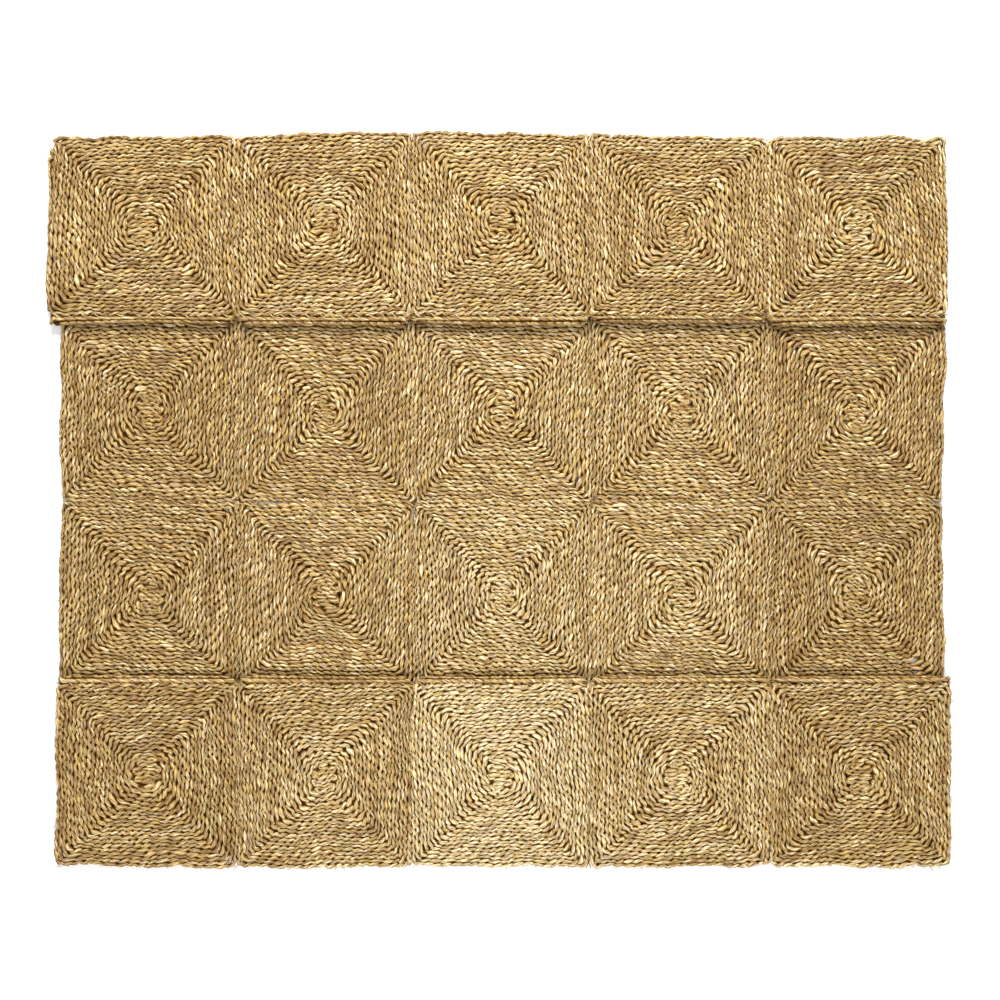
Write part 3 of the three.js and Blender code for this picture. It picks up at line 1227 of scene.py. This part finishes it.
def ply_tone(g, ply, tone):
    """How pale a ply is: a little paler or darker than the ones beside it."""
    by_chance = g.chance(g.vector(ply, *PLY_KEY))
    which_ply = g.math("MULTIPLY", g.math("FRACT", g.math("MULTIPLY", ply, 0.5)), PALER_APART)
    place = g.vector(g.math("MULTIPLY", ply, PALER_PACE), which_ply)
    slow = g.math("MULTIPLY", g.noise(place, scale=1.0, detail=1.0), PALER_SLOW)
    paler = g.math("MULTIPLY_ADD", by_chance, PALER_CHANCE, slow)
    return g.math("ADD", tone, g.math("SUBTRACT", paler, PALER_MEAN))


def blade_marks(g, slanted, around, paces, **looks):
    """Noise that changes at one pace along the blades and at another around the cord."""
    along = g.math("MULTIPLY", slanted, paces[0])
    across = g.math("MULTIPLY", around, paces[1])
    return g.noise(g.vector(along, across), **looks)


def bump_height(g, fibre, streak, groove, within):
    """Height of the surface: fibres and streaks, less the blades' sides and the groove."""
    side = g.remap(g.math("ABSOLUTE", g.math("SUBTRACT", within, 0.5)), *BLADE_SIDE)
    height = g.math("MULTIPLY", fibre, FIBRE_HEIGHT)
    height = g.math("SUBTRACT", height, g.math("MULTIPLY", side, SIDE_HEIGHT))
    height = g.math("ADD", height, streak)
    return g.math("SUBTRACT", height, g.math("MULTIPLY", groove, GROOVE_HEIGHT))


def twisted_group(colours):
    """Dried blades twisted into two plies: colour with painted shade deep between plies and turns,
    height and how deep a place lies.
    """
    inputs = [
        ("Plies", "NodeSocketFloat", 0.0),
        ("Around", "NodeSocketFloat", 0.25),
        ("Tone", "NodeSocketFloat", 0.0),
        ("Sunk_Shade", "NodeSocketFloat", 0.0),
        ("Blades", "NodeSocketFloat", BLADES),
        ("Gap Shade", "NodeSocketColor", colour(colours.gap)),
    ]
    outputs = [
        ("Colour", "NodeSocketColor"),
        ("Height", "NodeSocketFloat"),
        ("Depth", "NodeSocketFloat"),
    ]
    group, start, end = new_group("Twisted blades", inputs, outputs)
    g = Graph(group)
    given = start.outputs

    # Blades lie side by side across a ply and slant a little from it, and waver
    around = given["Around"]
    waver = g.noise(g.vector(given["Plies"], around), scale=WAVER_SCALE, detail=1.0)
    slanted = g.math("MULTIPLY_ADD", around, -BLADE_SLANT, given["Plies"])
    shifted = g.math("MULTIPLY", waver, WAVER)
    count = g.math("MULTIPLY_ADD", slanted, given["Blades"], shifted)
    blade = g.math("FLOOR", count)
    within = g.math("FRACT", count)
    ply = g.math("FLOOR", given["Plies"])

    blade_node = group.nodes.new("ShaderNodeGroup")
    blade_node.node_tree = blade_colour_group(colours)
    for label, key in zip(("Chance", "Other Chance"), BLADE_KEYS):
        g.put(blade_node.inputs[label], g.chance(g.vector(blade, ply, key)))
    g.put(blade_node.inputs["Tone"], ply_tone(g, ply, given["Tone"]))

    # Broken streaks and fine fibres along each blade
    streak = blade_marks(g, slanted, around, STREAK, detail=1.0)
    streak = g.remap(streak, *STREAK_NOISE, *STREAK_RANGE)
    fibre = blade_marks(g, slanted, around, FIBRE, detail=3.0, roughness=FIBRE_ROUGH)
    fleck = g.math("MULTIPLY", streak, g.remap(fibre, *FIBRE_NOISE, *FIBRE_RANGE))
    streaked = g.mix(1.0, blade_node.outputs[0], g.vector(fleck, fleck, fleck), "MULTIPLY")

    # Painted shade deep between two plies, and most of all where that meets the next turn: first
    # warmer, then the gap shade colour
    phase = g.math("FRACT", given["Plies"])
    from_middle = g.math("MULTIPLY", g.math("ABSOLUTE", g.math("SUBTRACT", phase, 0.5)), 2.0)
    groove = g.remap(from_middle, *GROOVE_RANGE)
    both = g.math("MULTIPLY_ADD", groove, GROOVE_SHARE, given["Sunk_Shade"])
    deep = g.remap(both, *GAP_SHADE_RANGE)
    shaded = g.mix(g.remap(both, *SHADE_RANGE), streaked, colour(WARM_SHADE), "MULTIPLY")
    painted_shade_colour = g.mix(deep, shaded, given["Gap Shade"])

    height = bump_height(g, fibre, streak, groove, within)
    for label, value in (("Colour", painted_shade_colour), ("Height", height), ("Depth", deep)):
        group.links.new(value, end.inputs[label])
    return group


def cord_material(context):
    """Two-ply seagrass cord, coloured along the cord's own map, with painted shade deep between
    plies and turns.
    """
    found = bpy.data.materials.get("seagrass_cord_twisted")
    if found:
        return found
    material = bpy.data.materials.new("seagrass_cord_twisted")
    material.use_nodes = True
    tree = material.node_tree
    g = Graph(tree)
    shader = tree.nodes["Principled BSDF"]
    uv = tree.nodes.new("ShaderNodeUVMap")
    uv.uv_map = "cord"
    split = tree.nodes.new("ShaderNodeSeparateXYZ")
    tree.links.new(uv.outputs[0], split.inputs[0])
    blades = tree.nodes.new("ShaderNodeGroup")
    blades.node_tree = twisted_group(context.scene.rug_colours)
    g.put(blades.inputs["Plies"], split.outputs[0])
    g.put(blades.inputs["Around"], split.outputs[1])
    for label in ("Tone", "Sunk_Shade"):
        attribute = tree.nodes.new("ShaderNodeAttribute")
        attribute.attribute_name = label.lower()
        g.put(blades.inputs[label], attribute.outputs["Fac"])
    g.put(shader.inputs["Base Color"], blades.outputs["Colour"])
    rough = g.remap(blades.outputs["Depth"], 0.0, 1.0, TOP_ROUGH, DEEP_ROUGH)
    g.put(shader.inputs["Roughness"], rough)
    bump = tree.nodes.new("ShaderNodeBump")
    bump.inputs["Distance"].default_value = BUMP_DISTANCE
    bump.inputs["Strength"].default_value = BUMP_STRENGTH
    g.put(bump.inputs["Height"], blades.outputs["Height"])
    g.put(shader.inputs["Normal"], bump.outputs[0])
    shader.inputs["Specular IOR Level"].default_value = SPECULAR
    return material


class RUG_OT_flat_rows(bpy.types.Operator):
    """Winds the panels of the four rows that lie flat and show"""

    bl_idname = "rug.flat_rows"
    bl_label = "Wind the flat rows"

    def execute(self, context):
        for row in FLAT_ROWS:
            for column, (place, size) in enumerate(row_fits(row), 1):
                wind_panel(context, row, column, place, everywhere)
        return {"FINISHED"}


class RUG_OT_folded_rows(bpy.types.Operator):
    """Winds the panels of the hidden rows, which curl over at the folds"""

    bl_idname = "rug.folded_rows"
    bl_label = "Wind the folded rows"

    def execute(self, context):
        pitch = context.scene.rug_sizes.cord_pitch
        for row in FOLDED_ROWS:
            for column, (place, size) in enumerate(row_fits(row), 1):
                shows = at_fold(row, column, pitch)
                wind_panel(context, row, column, place, shows)
        return {"FINISHED"}


class RUG_OT_sewing(bpy.types.Operator):
    """Sews the panels together, with a thin blade whipped over each seam"""

    bl_idname = "rug.sewing"
    bl_label = "Sew the panels together"

    def execute(self, context):
        for row in ROWS:
            sew_row(context, row)
        return {"FINISHED"}


class RUG_OT_stray_blades(bpy.types.Operator):
    """Scatters loose blades over the rows that show, and along the rug's own edges"""

    bl_idname = "rug.stray_blades"
    bl_label = "Scatter the stray blades"

    def execute(self, context):
        for row in FLAT_ROWS:
            scatter_blades(context, row)
        return {"FINISHED"}


class RUG_OT_stage(bpy.types.Operator):
    """Adds the pale floor, the soft studio lights and the camera straight above"""

    bl_idname = "rug.stage"
    bl_label = "Set the stage"

    FLOOR_HALF = 6.0
    FLOOR_ROUGH = 0.9
    FLOOR_GLOW = 0.14  # as on a light table, so that real gaps in the rug show pale
    WORLD_STRENGTH = 0.45
    LIGHT_SIZE = 1.2
    # Name, place and power in watts of each softbox
    LIGHTS = (
        ("head_softbox", (0.0, 2.4, 1.7), 123.0),
        ("foot_softbox", (0.0, -2.4, 1.9), 60.0),
    )
    CAMERA_HEIGHT = 2.0
    VIEW_WIDTH = 1.69  # across the frame at the height of the single layers
    SENSOR = 36.0

    def execute(self, context):
        scene = context.scene
        scene.view_settings.view_transform = "Standard"
        self.add_floor(scene)
        for name, place, power in self.LIGHTS:
            self.add_light(scene, name, place, power)

        world = bpy.data.worlds.new("studio")
        world.use_nodes = True
        background = world.node_tree.nodes["Background"]
        background.inputs["Color"].default_value = (1, 1, 1, 1)
        background.inputs["Strength"].default_value = self.WORLD_STRENGTH
        scene.world = world

        lens = bpy.data.cameras.new("camera")
        lens.sensor_width = self.SENSOR
        distance = self.CAMERA_HEIGHT - panel_thick
        lens.lens = self.SENSOR * distance / self.VIEW_WIDTH
        camera = bpy.data.objects.new("camera", lens)
        camera.location = (0.0, 0.0, self.CAMERA_HEIGHT)
        scene.collection.objects.link(camera)
        scene.camera = camera
        return {"FINISHED"}

    def add_floor(self, scene):
        bm = bmesh.new()
        bmesh.ops.create_grid(bm, x_segments=1, y_segments=1, size=self.FLOOR_HALF)
        mesh = bpy.data.meshes.new("floor")
        bm.to_mesh(mesh)
        bm.free()
        floor = bpy.data.objects.new("floor", mesh)
        scene.collection.objects.link(floor)
        material = bpy.data.materials.new("pale_floor")
        material.use_nodes = True
        shader = material.node_tree.nodes["Principled BSDF"]
        for label in ("Base Color", "Emission Color"):
            shader.inputs[label].default_value = colour(scene.rug_colours.floor)
        shader.inputs["Roughness"].default_value = self.FLOOR_ROUGH
        shader.inputs["Emission Strength"].default_value = self.FLOOR_GLOW
        mesh.materials.append(material)

    def add_light(self, scene, name, place, power):
        light = bpy.data.lights.new(name, "AREA")
        light.shape = "SQUARE"
        light.size = self.LIGHT_SIZE
        light.energy = power
        lamp = bpy.data.objects.new(name, light)
        lamp.location = place
        x, y, z = place
        lamp.rotation_euler = (0.0, math.atan2(math.hypot(x, y), z), math.atan2(y, x))
        scene.collection.objects.link(lamp)


class RUG_PT_panel(bpy.types.Panel):
    """Lists the steps that make the rug"""

    bl_idname = "RUG_PT_panel"
    bl_label = "Seagrass rug"
    bl_space_type = "VIEW_3D"
    bl_region_type = "UI"
    bl_category = "Rug"

    def draw(self, context):
        for step in STEPS:
            self.layout.operator(step.bl_idname)
        for group in (context.scene.rug_sizes, context.scene.rug_colours):
            for label in group.__annotations__:
                self.layout.prop(group, label)


STEPS = (
    RUG_OT_stage,
    RUG_OT_flat_rows,
    RUG_OT_folded_rows,
    RUG_OT_sewing,
    RUG_OT_stray_blades,
)
CLASSES = (RugSizes, RugColours, *STEPS, RUG_PT_panel)


def register():
    for cls in CLASSES:
        bpy.utils.register_class(cls)
    bpy.types.Scene.rug_sizes = PointerProperty(type=RugSizes)
    bpy.types.Scene.rug_colours = PointerProperty(type=RugColours)


def unregister():
    del bpy.types.Scene.rug_colours
    del bpy.types.Scene.rug_sizes
    for cls in reversed(CLASSES):
        bpy.utils.unregister_class(cls)


def main():
    register()
    bpy.ops.rug.stage()
    bpy.ops.rug.flat_rows()
    bpy.ops.rug.folded_rows()
    bpy.ops.rug.sewing()
    bpy.ops.rug.stray_blades()


if __name__ == "__main__":
    main()
